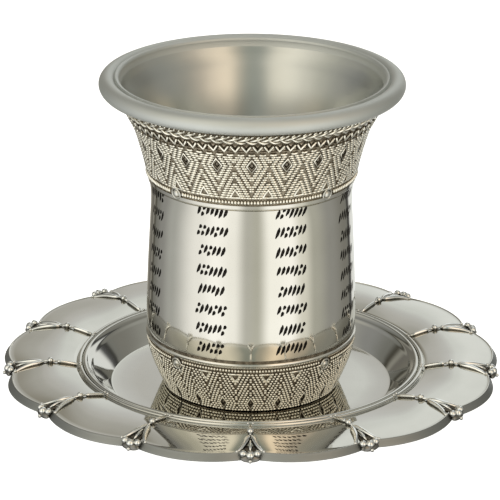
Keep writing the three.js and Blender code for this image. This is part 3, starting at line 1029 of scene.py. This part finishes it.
def saucer_blank():
    under = FLANGE_HEIGHT - FLANGE_THICKNESS
    rim = PETAL_REACH - LIP_WIDTH
    below = [(0, 0), (FLOOR_EDGE + 0.4, 0), (FLOOR_EDGE + 3.4, 0.9), (FLOOR_EDGE + 6.2, 4)]
    below += [(FLANGE_START, under)] + [(r, under) for r in np.linspace(FLANGE_START + 4, rim - 0.6, 5)]
    skirt = [(PETAL_REACH - 1.0, SKIRT_FOOT), (PETAL_REACH - 0.25, SKIRT_FOOT)]
    skirt += [(PETAL_REACH, SKIRT_FOOT + 0.25), (PETAL_REACH - 0.12, SKIRT_FOOT + 0.6)]
    skirt += [(rim + 0.62, FLANGE_HEIGHT - 0.6), (rim + 0.5, FLANGE_HEIGHT - 0.42)]
    lip = arc((rim + 0.1, FLANGE_HEIGHT - 0.3), 0.3, 15, 165, 8)
    dish = [(r, FLANGE_HEIGHT - 0.35) for r in np.linspace(rim - 0.7, FLANGE_START + 0.85, 24)]
    dish.append((FLANGE_START + 0.5, FLANGE_HEIGHT - 0.55))
    outer_bead = arc((FLANGE_START - 0.2, FLANGE_HEIGHT - 0.2), 0.56, -20, 190, 12)
    inner_bead = arc((FLANGE_START - 1.55, FLANGE_HEIGHT - 0.15), 0.58, -10, 150, 10)
    groove = [(FLANGE_START - 0.87, 7.3)]
    shoulder = [(FLANGE_START - 2.45, 7.55), (FLANGE_START - 2.9, 7.35), (FLANGE_START - 3.3, 7.0)]
    wall = [(FLOOR_EDGE + 0.7 + 4.6 * t, 2.35 + 4.35 * t ** 0.95) for t in np.linspace(1, 0, 14)]
    wall.append((FLOOR_EDGE + 0.45, SAUCER_FLOOR + 0.08))
    floor = [(r, SAUCER_FLOOR) for r in (FLOOR_EDGE, 30, 20, 0)]
    profile = below + skirt + lip + dish + outer_bead + groove + inner_bead + shoulder + wall + floor
    blank = turned("saucer_blank", profile, PETALS * COLUMNS_PER_PETAL)
    on_skirt = [face.center.xy.length > (rim + 0.15) * MM for face in blank.polygons]
    blank.attributes.new("on_skirt", "BOOLEAN", "FACE").data.foreach_set("value", on_skirt)
    return blank


petal_sizes = {
    "Petals": float(PETALS), "Flange Start": FLANGE_START * MM, "Petal Reach": PETAL_REACH * MM,
    "Cusp Reach": CUSP_REACH * MM, "Petal Dome": PETAL_DOME * MM, "Divider Rise": DIVIDER_RISE * MM,
    "Material": saucer_nickel,
}
saucer_skin = grown(saucer_blank(), "saucer_skin", petals, petal_sizes)
saucer_skin.data.set_sharp_from_angle(angle=math.radians(SHARP_SAUCER))
saucer_skin.data.materials.append(shaded_skirt_nickel)
# Skirt faces take the darker nickel of painted shade.
for face, marked in zip(saucer_skin.data.polygons, saucer_skin.data.attributes["on_skirt"].data):
    if marked.value:
        face.material_index = 1
settle(saucer_skin, "saucer_metal", "saucer")


# %% [markdown]
# ## Dividers
# Between two petals runs a cast ornament: two pearls on the ring, a slim rod, a ball with a tapered
# neck on each side, two leaves that part round a bud, and at the cusp three pearls over a plump shell
# with a small point. It is modelled once, at the front, and turned thirteen times. The hollow between
# the leaves is dark, with oxide where polish never reaches and with painted shade of the crease, so its
# dark ovals are a motif of their own.

# %% Places along a divider
def on_divider(reach, aside, proud):
    """Point on top of the arched divider at the front."""
    share = (reach - FLANGE_START) / (CUSP_REACH - FLANGE_START)
    arch = (PETAL_DOME + DIVIDER_RISE) * math.sin(math.pi * min(max(share, 0), 1))
    return Vector((aside, -reach, FLANGE_HEIGHT - 0.25 + arch + proud))


def divider_wire(path, widths, heights):
    points = [on_divider(*place) for place in path]
    return wire(points, [Vector((0, 0, 1))] * len(points), widths, heights, sides=10)


# %% One divider
def stem_and_ball():
    shapes = [ball(on_divider(44.8, side * 0.62, 0.65), (0.34, 0.34, 0.34)) for side in (-1, 1)]
    rod = [(r, 0, 0.28) for r in (45.5, 45.8, 47, 48.5, 50, 50.6, 50.9)]
    rod_heights = [0.2, 0.42, 0.5, 0.52, 0.5, 0.4, 0.15]
    shapes.append(divider_wire(rod, [0.2, 0.42, 0.48, 0.5, 0.48, 0.4, 0.15], rod_heights))
    neck = [(r, 0, 0.3) for r in (50.9, 51.5, 52.2, 53.2, 53.9, 54.5)]
    neck_heights = [0.15, 0.3, 0.42, 0.42, 0.28, 0.15]
    shapes.append(divider_wire(neck, [0.12, 0.28, 0.42, 0.42, 0.26, 0.12], neck_heights))
    shapes.append(ball(on_divider(52.6, 0, 0.5), (0.82, 0.8, 0.8), segments=16, rings=10))
    return shapes


def leaf(side):
    """A leaf that starts at the neck, swells, and curls outwards at its tip."""
    path = [
        (54.2, 0.12, 0.2), (55.2, 0.5, 0.25), (56.4, 0.85, 0.3), (57.8, 1.2, 0.35), (59.2, 1.65, 0.35),
        (60.5, 2.25, 0.3), (61.5, 2.9, 0.25), (61.9, 3.4, 0.2),
    ]
    path = [(r, side * aside, up) for r, aside, up in path]
    widths = [0.12, 0.5, 0.7, 0.68, 0.6, 0.52, 0.4, 0.15]
    body = divider_wire(path, widths, [0.15, 0.42, 0.58, 0.58, 0.52, 0.45, 0.34, 0.15])
    return [body, ball(on_divider(62.0, side * 3.3, 0.35), (0.42, 0.42, 0.42))]


def fan():
    """Three pearls over a plump shell that hangs from the cusp, with a small point below."""
    points, faces, proud = ball((0, -63.5, 6.9), (2.5, 0.95, 1.0), segments=24, rings=12)
    # The shell's proud values are all low, so the cast metal paints it dark: painted shade under the pearls.
    shapes = [(points, faces, [0.3 * up - 0.3 for up in proud])]
    pearls = ((-1.75, 63.1, 8.0, 0.92), (1.75, 63.1, 8.0, 0.92), (0, 63.65, 7.75, 1.08))
    for aside, reach, height, size in pearls:
        shapes.append(ball((aside, -reach, height), (size, size, size), segments=16, rings=10))
    shapes.append(ball((0, -64.6, 6.6), (0.5, 0.5, 0.5)))
    return shapes


def divider():
    bud = [(56.6, 0, 0.2), (57.8, 0, 0.4), (59.2, 0, 0.5), (60.4, 0, 0.45), (61.6, 0, 0.3)]
    shapes = stem_and_ball() + leaf(-1) + leaf(1) + fan()
    shapes.append(divider_wire(bud, [0.12, 0.24, 0.32, 0.38, 0.2], [0.12, 0.25, 0.35, 0.4, 0.2]))
    return motif("divider", *shapes)


# %% The dark hollow between the leaves: oxide and painted shade
def divider_hollow():
    # Flat dark ovals laid on the petal between leaf and bud: oxide and painted shade.
    shapes = []
    for side in (-1, 1):
        shapes.append(ball(on_divider(60.2, side * 0.85, 0.05), (0.62, 2.1, 0.22)))
        shapes.append(ball(on_divider(62.1, side * 1.7, 0.05), (1.0, 0.45, 0.2)))
    return motif("hollow", *shapes)


ring("dividers", divider(), PETALS, cast_metal, slot="saucer_metal")
ring("divider_hollows", divider_hollow(), PETALS, hollow_oxide_and_shade, slot="saucer_metal")


# %% [markdown]
# ## Studio
# Polished metal shows its surroundings and little else, so the light is built as a surrounding. Two soft
# panels stand in front, left and right of the camera, neutral below the horizon and warmer above it.
# Behind the cup the room is dark and streaky on the left and bright on the right, and the ceiling is a
# mid grey. The camera itself sees plain white in its place. The pale floor glows by itself, and
# reflections don't see it.

# %% Surroundings for reflections, worked out from the direction alone
def ramp_of(tree, factor, stops):
    """Ramp of (azimuth in degrees, red, green, blue) stops, with smooth steps between them."""
    ramp = add(tree, "ShaderNodeValToRGB", {"Fac": factor})
    elements = ramp.color_ramp.elements
    ramp.color_ramp.interpolation = "EASE"
    while len(elements) < len(stops):
        elements.new(0.5)
    for element, stop in zip(elements, stops):
        element.position = (stop[0] + 180) / 360
    for element, stop in zip(elements, stops):
        element.color = (*stop[1:], 1)
    return ramp.outputs["Color"]


def studio():
    world = bpy.data.worlds.new("studio")
    bpy.context.scene.world = world
    world.use_nodes = True
    tree = world.node_tree
    direction = add(tree, "ShaderNodeTexCoord").outputs["Generated"]
    split = add(tree, "ShaderNodeSeparateXYZ", {"Vector": direction}).outputs
    maths = calculator(tree)
    azimuth = maths("ARCTAN2", split["X"], maths("MULTIPLY", split["Y"], -1.0))
    turn = add(tree, "ShaderNodeMapRange", {"Value": azimuth, "From Min": -math.pi, "From Max": math.pi})
    height = maths("ARCSINE", split["Z"])
    behind_left = [
        (-180, 0.66, 0.66, 0.64), (-177, 0.60, 0.59, 0.56), (-173, 0.50, 0.49, 0.45),
        (-165, 0.35, 0.33, 0.28), (-158, 0.20, 0.19, 0.16), (-151, 0.18, 0.17, 0.15),
        (-147, 0.32, 0.31, 0.27), (-142, 0.08, 0.075, 0.06), (-136, 0.22, 0.22, 0.20),
        (-120, 0.32, 0.32, 0.31),
    ]
    behind_right = [
        (130, 0.25, 0.245, 0.22), (137, 0.23, 0.23, 0.21), (140, 0.06, 0.06, 0.055),
        (144, 0.10, 0.10, 0.10), (149, 0.90, 0.91, 0.89), (158, 0.88, 0.90, 0.88),
        (172, 0.90, 0.92, 0.89), (177, 0.80, 0.82, 0.79), (180, 0.66, 0.66, 0.64),
    ]
    panels = [
        (-100, 0.50, 0.51, 0.49), (-62, 1.15, 1.15, 1.12), (-40, 1.35, 1.35, 1.32), (-20, 1.2, 1.2, 1.15),
        (-4, 0.62, 0.62, 0.57), (6, 0.60, 0.60, 0.53), (22, 1.28, 1.28, 1.22), (44, 1.35, 1.34, 1.30),
        (60, 0.92, 0.91, 0.82), (75, 0.52, 0.52, 0.46), (100, 0.36, 0.36, 0.34),
    ]
    warm_panels = [
        (-95, 0.53, 0.52, 0.47), (-76, 0.74, 0.72, 0.62), (-58, 1.08, 1.03, 0.90),
        (-42, 1.38, 1.30, 1.12), (-26, 1.28, 1.20, 1.02), (-8, 0.44, 0.46, 0.41), (5, 0.42, 0.45, 0.40),
        (12, 0.62, 0.58, 0.48), (27, 1.50, 1.26, 0.98), (42, 1.24, 1.05, 0.83), (60, 0.72, 0.63, 0.52),
        (76, 0.48, 0.46, 0.40), (100, 0.40, 0.40, 0.37),
    ]
    low = ramp_of(tree, turn.outputs["Result"], behind_left + panels + behind_right)
    high = ramp_of(tree, turn.outputs["Result"], behind_left + warm_panels + behind_right)

    def above(first, last):
        values = {"Value": height, "From Min": math.radians(first), "From Max": math.radians(last)}
        return add(tree, "ShaderNodeMapRange", values, interpolation_type="SMOOTHSTEP").outputs["Result"]

    def over(factor, under, upper):
        mix = add(tree, "ShaderNodeMix", {"Factor": factor}, data_type="RGBA")
        tree.links.new(under, mix.inputs[6])
        tree.links.new(upper, mix.inputs[7])
        return mix.outputs[2]

    def plain(colour):
        flat = add(tree, "ShaderNodeRGB").outputs["Color"]
        flat.default_value = (*colour, 1)
        return flat

    room = over(above(60, 80), over(above(0, 12), low, high), plain((0.55, 0.55, 0.53)))
    direct_view = add(tree, "ShaderNodeLightPath").outputs["Is Camera Ray"]
    seen = over(direct_view, room, plain((1.0, 1.0, 1.0)))
    tree.links.new(seen, tree.nodes["Background"].inputs["Color"])


studio()
bpy.context.scene.view_settings.view_transform = "Standard"
print("surroundings ready")


# %% Pale floor that reflections don't see
FLOOR_REACH, FLOOR_GLOW = 3.0, 0.95


def pale_floor():
    mesh = bpy.data.meshes.new("floor")
    corners = [(x * FLOOR_REACH, y * FLOOR_REACH, 0) for x, y in ((-1, -1), (1, -1), (1, 1), (-1, 1))]
    mesh.from_pydata(corners, [], [(0, 1, 2, 3)])
    material, tree, shader = shader_for("pale_floor")
    shader.inputs["Metallic"].default_value = 0.0
    shader.inputs["Roughness"].default_value = 0.9
    shader.inputs["Specular IOR Level"].default_value = 0.0
    shader.inputs["Emission Color"].default_value = (1.0, 1.0, 1.0, 1)
    shader.inputs["Emission Strength"].default_value = FLOOR_GLOW
    grain = noise(tree, object_coordinates(tree), scale=30.0)
    paint(tree, shader, grain, (0.90, 0.90, 0.90), (0.93, 0.93, 0.93))
    mesh.materials.append(material)
    floor = show(mesh, "floor")
    floor.visible_glossy = False
    floor.visible_diffuse = False


pale_floor()

# %% [markdown]
# ## Camera
# A long lens from about 85 centimetres away, looking down by twenty degrees, with the axis of the cup
# nearly in the middle of a square picture.

# %% Camera
CAMERA_PLACE = (0.0, -0.785319, 0.323455)
CAMERA_TILT = 19.97
CAMERA_ROLL = 0.31
FOCAL_LENGTH, SENSOR_WIDTH = 231.8, 36.0
SIDE_SHIFT = -0.00277

camera_data = bpy.data.cameras.new("camera")
camera_data.lens = FOCAL_LENGTH
camera_data.sensor_width = SENSOR_WIDTH
camera_data.shift_x = SIDE_SHIFT
camera = show(camera_data, "camera")
tilt = Matrix.Rotation(math.radians(90 - CAMERA_TILT), 4, "X")
roll = Matrix.Rotation(math.radians(CAMERA_ROLL), 4, "Z")
camera.matrix_world = Matrix.Translation(CAMERA_PLACE) @ tilt @ roll
bpy.context.scene.camera = camera
print("camera stands", round(-CAMERA_PLACE[1], 3), "m in front of the cup")
